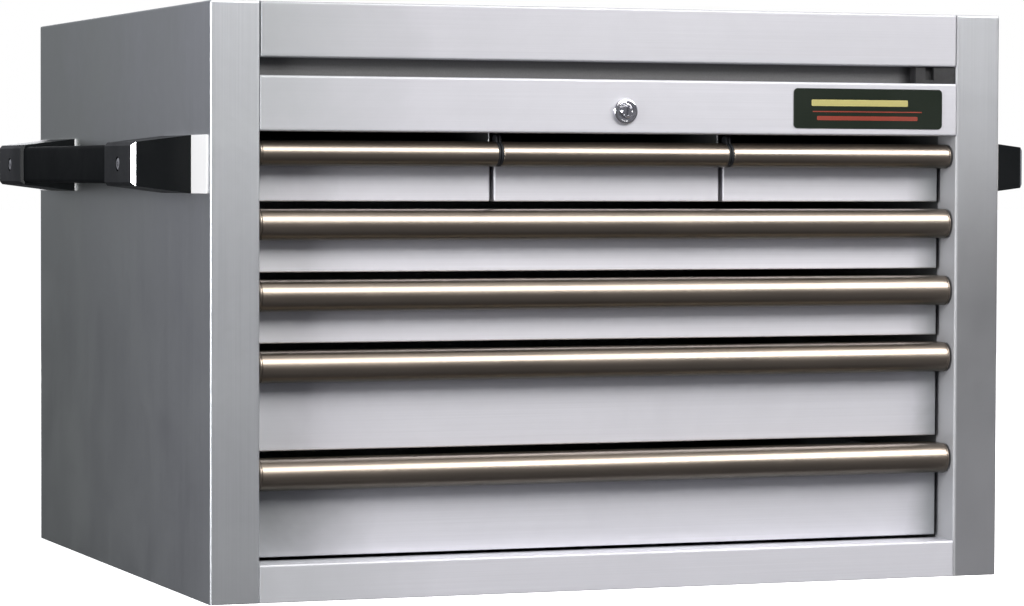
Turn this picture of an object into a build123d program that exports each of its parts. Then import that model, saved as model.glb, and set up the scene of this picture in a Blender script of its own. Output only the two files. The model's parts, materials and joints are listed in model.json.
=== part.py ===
from build123d import *
import math
import os

# Top tool chest in folded stainless sheet. Millimetres, +Z up, front towards -Y.
# Origin: centre of the overall box, on the plane the chest stands on.

# ---------------------------------------------------------------- driving sizes
CASE_WIDTH = 686.0
CASE_DEPTH = 565.0
CASE_HEIGHT = 470.0
SHEET = 1.2
BEND = 1.5                  # outside radius of a sheet bend
POST_WIDTH = 40.0           # each front post
FACE_RECESS = 27.0          # drawer faces behind the posts
LOCK_PROUD = 5.0            # lock plug in front of the posts
HANDLE_STANDOFF = 50.0      # side handles out from the case walls
EASE = 0.1                  # between sheets of the same body
GAP = 0.4                   # between sheets of different bodies

RAIL_TOP = 30.0             # top of the bottom rail
RAIL_LIP = 14.0             # turned down behind it
RETURN = 34.0               # rails and lock panel folded back from the front
HEM = 20.0                  # edge of the side panel turned down at the top
WALL_FOOT = 25.0            # inner wall turned in on the floor
TRAY_UPSTAND = 18.0
ROW_LINES = [33.0, 117.0, 202.0, 258.0, 314.0, 368.0]
PANEL_BOTTOM = 369.0        # lock panel
PANEL_TOP = 412.5
SKIRT_BOTTOM = 426.5        # lid skirt, above the finger gap
GAP_LIP = 16.0              # back wall of the finger gap behind the front plane
GAP_LIP_HEIGHT = 20.0
SEAL = 3.0                  # rubber strip on that wall
SEAL_HEIGHT = 19.0
SEAL_REST = 36.5            # block at the strip's right end
REST_SETBACK = 2.0
REST_SLOT = (20.0, 28.0)    # its slot, measured from the right post
REST_SLOT_DEPTH = 4.0

LARGE_NAMES = ["lower_deep_drawer", "upper_deep_drawer",
               "lower_shallow_drawer", "upper_shallow_drawer"]
SMALL_NAMES = ["left_small_drawer", "middle_small_drawer", "right_small_drawer"]

PULL_DROP = 6.0             # top of a pull below the line of its row
PULL_OUT = 23.0             # pull in front of the drawer face
PULL_WALL = 2.0
LARGE_PULL = 24.5           # pull height
SMALL_PULL = 20.0
PULL_LEG = 12.0             # flat top of the pull, before its round nose
PULL_FLANGE = 1.4           # thickness against the drawer face
PULL_SIDE_GAP = 1.7         # between a long pull and the post
SMALL_PULL_EASE = 0.3
CAP = 2.0                   # end cap thickness
CREST = PULL_DROP - 0.6     # small caps rise above their pull
CREST_WIDTH = 9.0
CREST_OUT = 5.0             # middle of the crest in front of the face

SIDE_GAP = 3.5              # beside a drawer face
SMALL_GAP = 4.0             # between two small drawer faces
FACE_FOLD = 12.0            # depth of the double-skinned drawer front
FACE_RETURN = 5.0           # lower edge of the face turned back
RIM_DROP = 14.0             # drawer sides below the line of the row
FLOOR_LIFT = 4.0            # drawer floor above the lower edge of the face
SLIDE_DROP = 4.0            # slides below the middle of their row
DRAWER_LENGTH = 488.0
SLIDE_ROOM = 13.2           # case wall to drawer side
SLIDE_START = 42.0          # slides behind the front plane
SLIDE_LENGTH = 480.0
DEEP_SLIDE = 36.0           # slide heights of the two lower and two upper rows
SHALLOW_SLIDE = 26.0
MEMBER_STEPS = (0.0, 3.0, 5.5)      # outer, middle and inner member, half heights
RUNNER_ROOM = 11.0          # partition to small drawer side
RUNNER_HEIGHT = 14.0

LOCK_X = 4.0
LOCK_Z = 387.0
LOCK_BARREL_R = 9.0
LOCK_FLANGE_R = 10.5
LOCK_PLUG_R = 5.25
FLANGE_PROUD = 3.2
FLANGE_CHAMFER = 1.4
BARREL_BACK = 24.0
NUT_R = 13.5
NUT_THICK = 4.0
KEY_SLOT = (1.6, -3.6, 3.2)      # width, lower and upper end
KEY_DEPTH = 6.0
CAM_REACH = 26.0
CAM_BACK = 27.0             # cam plate behind the front plane
CAM_THICK = 2.0
CAM_HUB_R = 8.0
CAM_WIDTH = 12.0

LABEL_WIDTH = 136.0
LABEL_HEIGHT = 33.0
LABEL_X = 221.5
LABEL_Z = 391.0
LABEL_THICK = 0.8
LABEL_CORNER = 3.5

HINGE_R = 3.5
HINGE_PIN_R = 1.25
HINGE_DROP = 4.0            # pin below the lid's top
HINGE_INSET = 7.4           # pin in from the back face
HINGE_SEGMENTS = 12
HINGE_HALF = 300.0
LEAF_DEPTH = 16.0           # leaf below the pin
LEAF_TOP = 4.6              # leaf's edge between knuckles, below the pin
KNUCKLE_GAP = 0.4

HANDLE_Z = 343.0
BRACKET_SETBACK = 48.0      # bracket's front face behind the front plane
BRACKET_LENGTH = 89.0
BRACKET_ROOT = 46.0         # height at the wall
BRACKET_TIP = 34.0          # height at the outer face
BACKING = 2.0
BAR_HEIGHT = 31.0
BAR_THICK = 12.0
BAR_INSET = 2.5             # bar's face behind the bracket's outer face
BAR_SOCKET = 22.0           # bar let into each bracket
PLATE_MARGIN = 4.0          # backing plate's end to the corner of the case
SCREW_R = 2.9
SCREW_HOLE_R = 3.0
SCREW_HEAD = (5.2, 2.3)     # radius and height
COUNTERBORE = (6.0, 2.5)    # radius and depth
HEXAGON_R = 2.3

# ---------------------------------------------------------------- derived places
MEMBER_REACH = [(0.0, 11.0), (2.2, 10.4), (SLIDE_ROOM, 5.0)]    # web and lips from the wall
FRONT = LOCK_PROUD - (CASE_DEPTH + LOCK_PROUD) / 2
BACK = FRONT + CASE_DEPTH
SIDE = CASE_WIDTH / 2
WALL_IN = SIDE - SHEET
JAMB = SIDE - POST_WIDTH    # edge of the front opening
INNER = JAMB + SHEET        # face of the inner wall
FACE = FRONT + FACE_RECESS
LID_TOP_UNDER = CASE_HEIGHT - SHEET
JAMB_BACK = FRONT + 32.5
FITTING_WIDTH = JAMB - EASE
HINGE_Y = BACK - HINGE_INSET
HINGE_Z = CASE_HEIGHT - HINGE_DROP
TRAY_FLOOR = PANEL_BOTTOM + 2 * SHEET
SMALL_FACE = (2 * (JAMB - SIDE_GAP) - 2 * SMALL_GAP) / 3
SMALL_PITCH = SMALL_FACE + SMALL_GAP
PARTITION_X = SMALL_PITCH / 2


# ---------------------------------------------------------------- helpers
def block(x0, x1, y0, y1, z0, z1):
    """Block between two corners."""
    centre = Pos((x0 + x1) / 2, (y0 + y1) / 2, (z0 + z1) / 2)
    return centre * Box(abs(x1 - x0), abs(y1 - y0), abs(z1 - z0))


def other_side(shape):
    """The same piece on the other side of the chest."""
    return mirror(shape, about=Plane.YZ)


def along_x(radius, x0, x1, y, z):
    """Round bar parallel to X."""
    return Pos((x0 + x1) / 2, y, z) * Rot(0, 90, 0) * Cylinder(radius, abs(x1 - x0))


def along_y(radius, x, z, y0, y1):
    """Round bar parallel to Y."""
    return Pos(x, (y0 + y1) / 2, z) * Rot(90, 0, 0) * Cylinder(radius, abs(y1 - y0))


def soften(shape, edges_at, axis, radius):
    """Round the edges parallel to axis that pass through the given points."""
    chosen = []
    for edge in shape.edges().filter_by(axis):
        middle = edge.center()
        for point in edges_at:
            offsets = [abs(a - b) for a, b in zip(middle, point) if b is not None]
            if max(offsets) < 0.05:
                chosen.append(edge)
    return fillet(chosen, radius)


def save(name, *solids):
    """Write one node, a single solid or a group of separate ones."""
    bodies = []
    for solid in solids:
        bodies.extend(solid.solids())
    shape = bodies[0] if len(bodies) == 1 else Compound(children=bodies)
    export_step(shape, "parts/" + name + ".step")


# ---------------------------------------------------------------- case
def side_panel():
    """Right outer wall, folded round the front post and over the top."""
    panel = block(WALL_IN, SIDE, FRONT, BACK, 0, CASE_HEIGHT)
    panel += block(JAMB, SIDE, FRONT, FRONT + SHEET, 0, CASE_HEIGHT)
    panel += block(JAMB, INNER, FRONT, JAMB_BACK, SHEET, CASE_HEIGHT)
    panel += block(JAMB, SIDE, FRONT, BACK, LID_TOP_UNDER, CASE_HEIGHT)
    panel += block(JAMB, INNER, FRONT, BACK - SHEET, CASE_HEIGHT - HEM, CASE_HEIGHT)
    corners = [(SIDE, FRONT, None), (JAMB, FRONT, None)]
    panel = soften(panel, corners, Axis.Z, BEND)
    return soften(panel, [(SIDE, None, CASE_HEIGHT)], Axis.Y, BEND)


def inner_wall():
    """Right inner wall, which carries the slides and lines the tray."""
    outer = INNER + SHEET
    wall = block(INNER, outer, FRONT + SHEET, BACK - SHEET, SHEET, LID_TOP_UNDER)
    wall += block(INNER, outer + WALL_FOOT, JAMB_BACK, BACK - SHEET, SHEET, 2 * SHEET)
    return wall


def back_panel():
    hinge_line = HINGE_Z - HINGE_R - 1
    panel = block(-WALL_IN, WALL_IN, BACK - SHEET, BACK, 0, hinge_line)
    for side in (-1, 1):
        panel += block(side * JAMB, side * WALL_IN, BACK - SHEET, BACK,
                       hinge_line, LID_TOP_UNDER)
    return panel


def bottom_pan():
    """Floor of the case with the front rail folded up from it."""
    rail_depth = FRONT + RETURN
    pan = block(-WALL_IN, WALL_IN, FRONT + SHEET, BACK - SHEET, 0, SHEET)
    pan += block(-FITTING_WIDTH, FITTING_WIDTH, FRONT, FRONT + SHEET, 0, RAIL_TOP)
    pan += block(-FITTING_WIDTH, FITTING_WIDTH, FRONT, rail_depth,
                 RAIL_TOP - SHEET, RAIL_TOP)
    pan += block(-FITTING_WIDTH, FITTING_WIDTH, rail_depth - SHEET, rail_depth,
                 RAIL_TOP - RAIL_LIP, RAIL_TOP)
    return soften(pan, [(None, FRONT, RAIL_TOP)], Axis.X, BEND)


def lock_panel():
    """Front panel between the posts, stepped back above for the finger gap."""
    half = FITTING_WIDTH
    lip = FRONT + GAP_LIP
    panel = block(-half, half, FRONT, FRONT + SHEET, PANEL_BOTTOM, PANEL_TOP)
    panel += block(-half, half, FRONT, FRONT + RETURN, PANEL_BOTTOM, PANEL_BOTTOM + SHEET)
    panel += block(-half, half, FRONT, lip + SHEET, PANEL_TOP - SHEET, PANEL_TOP)
    panel += block(-half, half, lip, lip + SHEET, PANEL_TOP - SHEET,
                   PANEL_TOP + GAP_LIP_HEIGHT)
    panel -= along_y(LOCK_BARREL_R + EASE, LOCK_X, LOCK_Z,
                     FRONT - SHEET, FRONT + 2 * SHEET)
    return soften(panel, [(None, FRONT, PANEL_TOP), (None, FRONT, PANEL_BOTTOM)],
                  Axis.X, BEND)


def gap_seal():
    """Rubber strip behind the finger gap, and the block the lid's skirt closes on."""
    end = JAMB - GAP
    strip_face = FRONT + GAP_LIP - SEAL
    strip = block(-end, end, strip_face, strip_face + SEAL,
                  PANEL_TOP, PANEL_TOP + SEAL_HEIGHT)
    rest = block(end - SEAL_REST, end, FRONT + REST_SETBACK, strip_face,
                 PANEL_TOP, SKIRT_BOTTOM - GAP)
    rest -= block(JAMB - REST_SLOT[1], JAMB - REST_SLOT[0], FRONT,
                  FRONT + REST_SETBACK + REST_SLOT_DEPTH, PANEL_TOP + SEAL, SKIRT_BOTTOM)
    return strip, rest


def tray_floor():
    under = PANEL_BOTTOM + SHEET
    start = JAMB_BACK + EASE
    floor = block(-FITTING_WIDTH, FITTING_WIDTH, FRONT + SHEET + EASE, start,
                  under, TRAY_FLOOR)
    floor += block(-INNER, INNER, start, BACK - SHEET, under, TRAY_FLOOR)
    for side in (-1, 1):
        floor += block(side * (INNER - SHEET), side * INNER, start, BACK - SHEET,
                       under, under + TRAY_UPSTAND)
    return floor


def partition(x):
    """Sheet hung under the tray between two small drawers."""
    foot = ROW_LINES[4] + 2
    top = PANEL_BOTTOM + SHEET
    return block(x - SHEET / 2, x + SHEET / 2, FRONT + RETURN + EASE, BACK - SHEET,
                 foot, top)


def member_half(row, member):
    """Half height of the outer (0), middle (1) or inner (2) member of a slide."""
    height = DEEP_SLIDE if row < 2 else SHALLOW_SLIDE
    return height / 2 - MEMBER_STEPS[member]


def channel(wall_x, open_x, y0, y1, z, half, side):
    """C channel with its web at wall_x, open towards open_x."""
    step = SHEET if open_x > wall_x else -SHEET
    shape = block(side * wall_x, side * (wall_x + step), y0, y1, z - half, z + half)
    shape += block(side * wall_x, side * open_x, y0, y1, z + half - SHEET, z + half)
    shape += block(side * wall_x, side * open_x, y0, y1, z - half, z - half + SHEET)
    return shape


def slide_centre(row):
    return (ROW_LINES[row] + ROW_LINES[row + 1]) / 2 - SLIDE_DROP


def slide_member(row, side, member):
    """Outer (0), middle (1) or inner (2) member of the slide beside a large drawer."""
    web, lips = MEMBER_REACH[member]
    start = FRONT + SLIDE_START
    return channel(INNER - web, INNER - lips, start, start + SLIDE_LENGTH,
                   slide_centre(row), member_half(row, member), side)


def runner_centre():
    return (ROW_LINES[4] + ROW_LINES[5]) / 2 - SLIDE_DROP


def small_runner(wall_x, box_x):
    """Fixed C runner from a wall or partition towards the side of a small drawer."""
    step = 1 if wall_x > box_x else -1
    web = box_x + step * (RUNNER_ROOM - SHEET)
    start = FRONT + SLIDE_START
    z = runner_centre()
    half = RUNNER_HEIGHT / 2
    end = start + SLIDE_LENGTH
    shape = block(wall_x, web, start, end, z - half, z + half)
    open_x = box_x + step * GAP
    shape += block(web, open_x, start, end, z + half - SHEET, z + half)
    shape += block(web, open_x, start, end, z - half, z - half + SHEET)
    inside = wall_x - step * SHEET
    if abs(wall_x - web) > 2 * SHEET:
        shape -= block(inside, web + step * SHEET, start, end,
                       z - half + SHEET, z + half - SHEET)
    return shape


def small_box_half():
    return PARTITION_X - SHEET / 2 - RUNNER_ROOM


def fixed_slides():
    members = []
    for row in range(4):
        for side in (-1, 1):
            members.append(slide_member(row, side, 0))
    half = small_box_half()
    for index in (-1, 0, 1):
        centre = index * SMALL_PITCH
        for side in (-1, 1):
            wall = centre + side * (PARTITION_X - SHEET / 2)
            if index == side:
                wall = side * INNER
            members.append(small_runner(wall, centre + side * half))
    return members


# ---------------------------------------------------------------- hinge
def knuckles(first):
    """Every second knuckle of the piano hinge, starting at the given segment."""
    pitch = 2 * HINGE_HALF / HINGE_SEGMENTS
    rolls = []
    for index in range(first, HINGE_SEGMENTS, 2):
        x0 = -HINGE_HALF + index * pitch
        rolls.append((x0 + KNUCKLE_GAP / 2, x0 + pitch - KNUCKLE_GAP / 2))
    return rolls


def hinge_leaf(first, near, far):
    """One leaf with its rolled knuckles; near and far are its faces in Y."""
    foot = HINGE_Z - LEAF_DEPTH
    leaf = block(-HINGE_HALF, HINGE_HALF, near, far, foot, HINGE_Z - LEAF_TOP)
    for x0, x1 in knuckles(first):
        leaf += block(x0, x1, near, far, foot, HINGE_Z)
        leaf += along_x(HINGE_R, x0, x1, HINGE_Y, HINGE_Z)
    leaf -= along_x(HINGE_PIN_R + EASE / 2, -HINGE_HALF, HINGE_HALF, HINGE_Y, HINGE_Z)
    return leaf


# ---------------------------------------------------------------- lock and label
def lock_body():
    """Threaded barrel with a round flange, and the hexagon nut behind the panel."""
    barrel = along_y(LOCK_BARREL_R, LOCK_X, LOCK_Z, FRONT, FRONT + BARREL_BACK)
    flange = along_y(LOCK_FLANGE_R, LOCK_X, LOCK_Z, FRONT - FLANGE_PROUD, FRONT)
    flange = chamfer(flange.edges().sort_by(Axis.Y)[0], FLANGE_CHAMFER)
    body = barrel + flange
    body -= along_y(LOCK_PLUG_R + EASE / 2, LOCK_X, LOCK_Z,
                    FRONT - FLANGE_PROUD, FRONT + BARREL_BACK)
    nut_plane = Plane(origin=(LOCK_X, FRONT + SHEET, LOCK_Z), z_dir=(0, 1, 0))
    nut = extrude(nut_plane * RegularPolygon(NUT_R, 6), NUT_THICK)
    nut -= along_y(LOCK_BARREL_R, LOCK_X, LOCK_Z, FRONT, FRONT + BARREL_BACK)
    return body, nut


def lock_plug():
    plug = along_y(LOCK_PLUG_R, LOCK_X, LOCK_Z, FRONT - LOCK_PROUD, FRONT + CAM_BACK)
    plug = chamfer(plug.edges().sort_by(Axis.Y)[0], 0.6)
    width, low, high = KEY_SLOT
    mouth = FRONT - LOCK_PROUD
    return plug - block(LOCK_X - width / 2, LOCK_X + width / 2, mouth, mouth + KEY_DEPTH,
                        LOCK_Z + low, LOCK_Z + high)


def lock_cam():
    """Plate on the back of the plug, its tongue up when unlocked."""
    y0 = FRONT + CAM_BACK
    cam = along_y(CAM_HUB_R, LOCK_X, LOCK_Z, y0, y0 + CAM_THICK)
    return cam + block(LOCK_X - CAM_WIDTH / 2, LOCK_X + CAM_WIDTH / 2,
                       y0, y0 + CAM_THICK, LOCK_Z, LOCK_Z + CAM_REACH)


def label_plate():
    face = Plane(origin=(LABEL_X, FRONT, LABEL_Z), x_dir=(1, 0, 0), z_dir=(0, -1, 0))
    outline = face * RectangleRounded(LABEL_WIDTH, LABEL_HEIGHT, LABEL_CORNER)
    return extrude(outline, LABEL_THICK)


# ---------------------------------------------------------------- side handles
def bracket_sketch():
    """Front view of a bracket: tall at the wall, narrower at its outer face."""
    root = SIDE + BACKING
    tip = SIDE + HANDLE_STANDOFF
    outline = Polyline((root, HANDLE_Z - BRACKET_ROOT / 2),
                       (tip, HANDLE_Z - BRACKET_TIP / 2),
                       (tip, HANDLE_Z + BRACKET_TIP / 2),
                       (root, HANDLE_Z + BRACKET_ROOT / 2),
                       (root, HANDLE_Z - BRACKET_ROOT / 2))
    return make_face(Plane.XZ * outline)


def bracket_span(rear):
    """First and last Y of the front or the rear bracket."""
    if rear:
        return (BACK - BRACKET_SETBACK - BRACKET_LENGTH, BACK - BRACKET_SETBACK)
    return (FRONT + BRACKET_SETBACK, FRONT + BRACKET_SETBACK + BRACKET_LENGTH)


BAR_OUT = SIDE + HANDLE_STANDOFF - BAR_INSET


def bar_block(y0, y1):
    return block(BAR_OUT - BAR_THICK, BAR_OUT, y0, y1,
                 HANDLE_Z - BAR_HEIGHT / 2, HANDLE_Z + BAR_HEIGHT / 2)


def handle_bar():
    _, y0 = bracket_span(False)
    y1, _ = bracket_span(True)
    bar = bar_block(y0 - BAR_SOCKET, y1 + BAR_SOCKET)
    return fillet(bar.edges().filter_by(Axis.Y), 3.0)


def handle_bracket(rear):
    """Right-hand bracket: a tapered casting with a socket for the bar."""
    y0, y1 = bracket_span(rear)
    solid = extrude(bracket_sketch(), BRACKET_LENGTH, dir=(0, 1, 0))
    solid = Pos(0, y0, 0) * solid
    outer = solid.faces().sort_by(Axis.X)[-1]
    solid = fillet(outer.edges(), 2.0)
    solid -= handle_bar()
    mid = (y0 + y1) / 2
    tip = SIDE + HANDLE_STANDOFF
    radius, depth = COUNTERBORE
    solid -= along_x(radius, tip - depth, tip, mid, HANDLE_Z)
    return solid - along_x(SCREW_HOLE_R, SIDE, tip, mid, HANDLE_Z)


def backing_plate(rear):
    """Polished plate between a bracket and the wall, long towards the corner."""
    y0, y1 = bracket_span(rear)
    if rear:
        y1 = BACK - PLATE_MARGIN
    else:
        y0 = FRONT + PLATE_MARGIN
    plate = block(SIDE, SIDE + BACKING, y0, y1,
                  HANDLE_Z - BRACKET_ROOT / 2, HANDLE_Z + BRACKET_ROOT / 2)
    y0, y1 = bracket_span(rear)
    return plate - along_x(SCREW_HOLE_R, SIDE, SIDE + BACKING, (y0 + y1) / 2, HANDLE_Z)


def handle_screw(rear):
    """Pan-head screw through bracket and backing plate, with a hexagon recess."""
    y0, y1 = bracket_span(rear)
    mid = (y0 + y1) / 2
    radius, height = SCREW_HEAD
    seat = SIDE + HANDLE_STANDOFF - COUNTERBORE[1]
    shank = along_x(SCREW_R, SIDE, seat, mid, HANDLE_Z)
    head = along_x(radius, seat, seat + height, mid, HANDLE_Z)
    head = fillet(head.edges().sort_by(Axis.X)[-1], 1.2)
    recess = Plane(origin=(seat + 0.8, mid, HANDLE_Z), z_dir=(1, 0, 0))
    return shank + head - extrude(recess * RegularPolygon(HEXAGON_R, 6), height)


# ---------------------------------------------------------------- lid
LID_HALF = JAMB - 0.8
LID_BACK = HINGE_Y - HINGE_R - SHEET
LID_SIDE_BOTTOM = CASE_HEIGHT - 30.0
LID_BACK_BOTTOM = CASE_HEIGHT - 20.0
LID_RETURN = 10.0           # skirt's lower edge turned back


def lid_shell():
    """Top sheet folded down on four sides, deep in front."""
    top = CASE_HEIGHT
    under = top - SHEET
    lid = block(-LID_HALF, LID_HALF, FRONT, LID_BACK + SHEET, under, top)
    lid += block(-LID_HALF, LID_HALF, FRONT, FRONT + SHEET, SKIRT_BOTTOM, top)
    lid += block(-LID_HALF, LID_HALF, FRONT, FRONT + LID_RETURN,
                 SKIRT_BOTTOM, SKIRT_BOTTOM + SHEET)
    lid += block(-LID_HALF, LID_HALF, LID_BACK - SHEET, LID_BACK, LID_BACK_BOTTOM, top)
    for side in (-1, 1):
        inside = side * (LID_HALF - SHEET)
        lid += block(inside, side * LID_HALF, FRONT, LID_BACK, LID_SIDE_BOTTOM, top)
        lid += block(inside, side * LID_HALF, FRONT, FRONT + LID_RETURN,
                     SKIRT_BOTTOM, top)
    return soften(lid, [(None, FRONT, top), (None, FRONT, SKIRT_BOTTOM)], Axis.X, BEND)


CATCH_WIDTH = 18.0
CATCH_THICK = 2.0
CATCH_FOOT = 6.0            # foot towards the front
CATCH_HEAD = 14.0           # flange under the lid


def lid_catch():
    """Strap hung from the lid behind the lock, with a foot under the cam's tongue."""
    y0 = FRONT + CAM_BACK + 2 * CAM_THICK
    y1 = y0 + CATCH_THICK
    x0 = LOCK_X + 10
    x1 = x0 + CATCH_WIDTH
    bottom = LOCK_Z - 11
    strap = block(x0, x1, y0, y1, bottom, LID_TOP_UNDER)
    strap += block(x0, x1, y0 - CATCH_FOOT, y1, bottom, bottom + CATCH_THICK)
    strap += block(x0, x1, y0, y0 + CATCH_HEAD, LID_TOP_UNDER - CATCH_THICK, LID_TOP_UNDER)
    return strap


# ---------------------------------------------------------------- gas struts
STRUT_X = INNER - 12.2
STRUT_FOOT = (HINGE_Y - 24, HINGE_Z - 70)       # pivot on the inner wall
STRUT_HEAD = (HINGE_Y - 140, HINGE_Z - 16)      # pivot on the lid
STRUT_TUBE_R = 7.5
STRUT_TUBE_IN = 6.2
STRUT_TUBE = (13.0, 103.0)  # ends of the tube from the foot pivot
STRUT_GUIDE = 3.0           # wall at the mouth of the tube
STRUT_ROD_R = 3.2
STRUT_NECK_R = 3.8
STRUT_SOCKET = 16.0         # socket at the free end of the rod
PISTON_R = 6.1
PISTON = (16.5, 19.5)
EYE_R = 6.5
EYE_HALF = 4.0
STUD_R = 3.0
COLLAR_R = 5.5
WASHER_R = 5.0


def strut_frame():
    """Plane at the foot pivot whose z runs along the strut."""
    run = (STRUT_HEAD[0] - STRUT_FOOT[0], STRUT_HEAD[1] - STRUT_FOOT[1])
    return Plane(origin=(STRUT_X, STRUT_FOOT[0], STRUT_FOOT[1]),
                 x_dir=(1, 0, 0), z_dir=(0, run[0], run[1]))


def strut_length():
    return math.dist(STRUT_FOOT, STRUT_HEAD)


def strut_round(radius, start, end):
    """Round length of the strut, measured from the foot pivot."""
    return strut_frame() * Pos(0, 0, (start + end) / 2) * Cylinder(radius, end - start)


def strut_eye(pivot):
    return along_x(EYE_R, STRUT_X - EYE_HALF, STRUT_X + EYE_HALF, pivot[0], pivot[1])


def strut_tube():
    """Cylinder with an eye on the foot stud and a guide at its mouth."""
    start, end = STRUT_TUBE
    tube = strut_round(STRUT_TUBE_R, start, end) + strut_round(STRUT_NECK_R, 0, start + 1)
    tube += strut_eye(STRUT_FOOT)
    tube -= strut_round(STRUT_TUBE_IN, start + 2, end - STRUT_GUIDE)
    tube -= strut_round(STRUT_ROD_R + EASE / 2, end - STRUT_GUIDE - 1, end)
    return tube - along_x(STUD_R + EASE / 2, STRUT_X - EYE_HALF, STRUT_X + EYE_HALF,
                          *STRUT_FOOT)


def strut_rod():
    """Rod with its piston, and a closed socket beside the lid's stud."""
    rod = strut_round(STRUT_ROD_R, PISTON[0], strut_length())
    rod += strut_round(PISTON_R, *PISTON)
    rod += strut_round(STRUT_NECK_R, strut_length() - STRUT_SOCKET, strut_length())
    return rod + strut_eye(STRUT_HEAD)


def case_stud():
    stud = along_x(STUD_R, STRUT_X - EYE_HALF - 1, INNER, *STRUT_FOOT)
    collar = along_x(COLLAR_R, STRUT_X + EYE_HALF + GAP, INNER, *STRUT_FOOT)
    washer = along_x(WASHER_R, STRUT_X - EYE_HALF - 2 * SHEET, STRUT_X - EYE_HALF - GAP,
                     *STRUT_FOOT)
    return stud + collar + washer


def lid_stud():
    inside = LID_HALF - SHEET
    return along_x(WASHER_R, STRUT_X + EYE_HALF + GAP, inside, *STRUT_HEAD)


# ---------------------------------------------------------------- drawers
def drawer_box(centre, face_half, box_half, row, runners):
    """Folded drawer with a double-skinned front."""
    z0 = ROW_LINES[row]
    line = ROW_LINES[row + 1]
    face_top = line - PULL_DROP - PULL_WALL
    rim = line - RIM_DROP
    back = FACE + FACE_FOLD + DRAWER_LENGTH
    left, right = centre - face_half, centre + face_half
    inner_skin = FACE + FACE_FOLD
    box = block(left, right, FACE, FACE + SHEET, z0, face_top)
    box += block(left, right, FACE, inner_skin, face_top - SHEET, face_top)
    box += block(left, left + SHEET, FACE, inner_skin, z0, face_top)
    box += block(right - SHEET, right, FACE, inner_skin, z0, face_top)
    box += block(left, right, FACE, FACE + FACE_RETURN, z0, z0 + SHEET)
    box += block(left, right, inner_skin, inner_skin + SHEET, z0 + FLOOR_LIFT - 1,
                 face_top)
    x0, x1 = centre - box_half, centre + box_half
    floor = z0 + FLOOR_LIFT
    box += block(x0, x1, inner_skin, back, floor, floor + SHEET)
    box += block(x0, x0 + SHEET, inner_skin, back, floor, rim)
    box += block(x1 - SHEET, x1, inner_skin, back, floor, rim)
    box += block(x0, x1, back - SHEET, back, floor, rim)
    if runners:
        for side in (-1, 1):
            box += small_drawer_rail(centre + side * box_half, side)
    corners = [(left, FACE, None), (right, FACE, None)]
    box = soften(box, corners, Axis.Z, 1.0)
    return soften(box, [(None, FACE, z0)], Axis.X, 1.0)


def small_drawer_rail(x, side):
    """Hollow rail on the side of a small drawer, which runs in the fixed C."""
    z = runner_centre()
    half = RUNNER_HEIGHT / 2 - SHEET - GAP
    reach = RUNNER_ROOM - SHEET - 2 * GAP
    start = FRONT + SLIDE_START
    end = FACE + FACE_FOLD + DRAWER_LENGTH
    rail = block(x, x + side * reach, start, end, z - half, z + half)
    return rail - block(x, x + side * (reach - SHEET), start, end,
                        z - half + SHEET, z + half - SHEET)


def pull_place(row):
    """Plane through the top edge of a pull: x away from the chest, y up."""
    top = ROW_LINES[row + 1] - PULL_DROP
    return Plane(origin=(0, FACE, top), x_dir=(0, -1, 0), z_dir=(-1, 0, 0))


def nose(height, inset):
    """Half ellipse at the front of a pull, drawn in from its outside by inset."""
    reach = PULL_OUT - PULL_LEG
    oval = Ellipse(reach - inset, height / 2 - inset)
    keep = Pos(reach / 2, 0) * Rectangle(reach, height)
    return Pos(PULL_LEG, -height / 2) * (oval & keep)


def drawer_pull(x0, x1, row, height):
    """Extrusion with a flat top, a round nose and a flange on the drawer face."""
    section = nose(height, 0) - nose(height, PULL_WALL)
    leg = FACE_FOLD - 2
    section += Pos((PULL_LEG - leg) / 2, -PULL_WALL / 2) * Rectangle(PULL_LEG + leg, PULL_WALL)
    section += Pos(PULL_FLANGE / 2, -height / 4) * Rectangle(PULL_FLANGE, height / 2)
    bar = extrude(pull_place(row) * section, x1 - x0 - 2 * CAP)
    return Pos(x1 - CAP, 0, 0) * bar


def pull_cap(x, row, height, crest):
    """End cap whose outside follows the pull; crest rises to the line of the row."""
    shape = nose(height, 0)
    shape += Pos((PULL_LEG + GAP) / 2, -height / 2) * Rectangle(PULL_LEG - GAP, height)
    if crest > 0:
        shape += Pos(CREST_OUT, crest / 2 - 1) * RectangleRounded(CREST_WIDTH, crest + 2, BEND)
    plate = extrude(pull_place(row) * shape, CAP)
    return Pos(x, 0, 0) * plate


# ---------------------------------------------------------------- output
def write_case():
    save("right_side_panel", side_panel())
    save("left_side_panel", other_side(side_panel()))
    save("inner_side_walls", inner_wall(), other_side(inner_wall()))
    save("back_panel", back_panel())
    save("bottom_pan", bottom_pan())
    save("lock_panel", lock_panel())
    save("finger_gap_seal", *gap_seal())
    save("tray_floor", tray_floor())
    save("small_drawer_partitions", partition(-PARTITION_X), partition(PARTITION_X))
    save("fixed_slide_members", *fixed_slides())
    save("case_hinge_leaf", hinge_leaf(0, HINGE_Y + HINGE_R - SHEET, HINGE_Y + HINGE_R))
    save("hinge_pin", along_x(HINGE_PIN_R, -HINGE_HALF, HINGE_HALF, HINGE_Y, HINGE_Z))
    save("lock_body", *lock_body())
    save("label_plate", label_plate())
    save("strut_wall_studs", case_stud(), other_side(case_stud()))


def write_handles():
    save("right_handle_brackets", handle_bracket(False), handle_bracket(True))
    save("left_handle_brackets", other_side(handle_bracket(False)),
         other_side(handle_bracket(True)))
    save("right_handle_bar", handle_bar())
    save("left_handle_bar", other_side(handle_bar()))
    plates = [backing_plate(False), backing_plate(True)]
    save("handle_backing_plates", *plates, *[other_side(plate) for plate in plates])
    screws = [handle_screw(False), handle_screw(True)]
    save("handle_screws", *screws, *[other_side(screw) for screw in screws])


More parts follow.
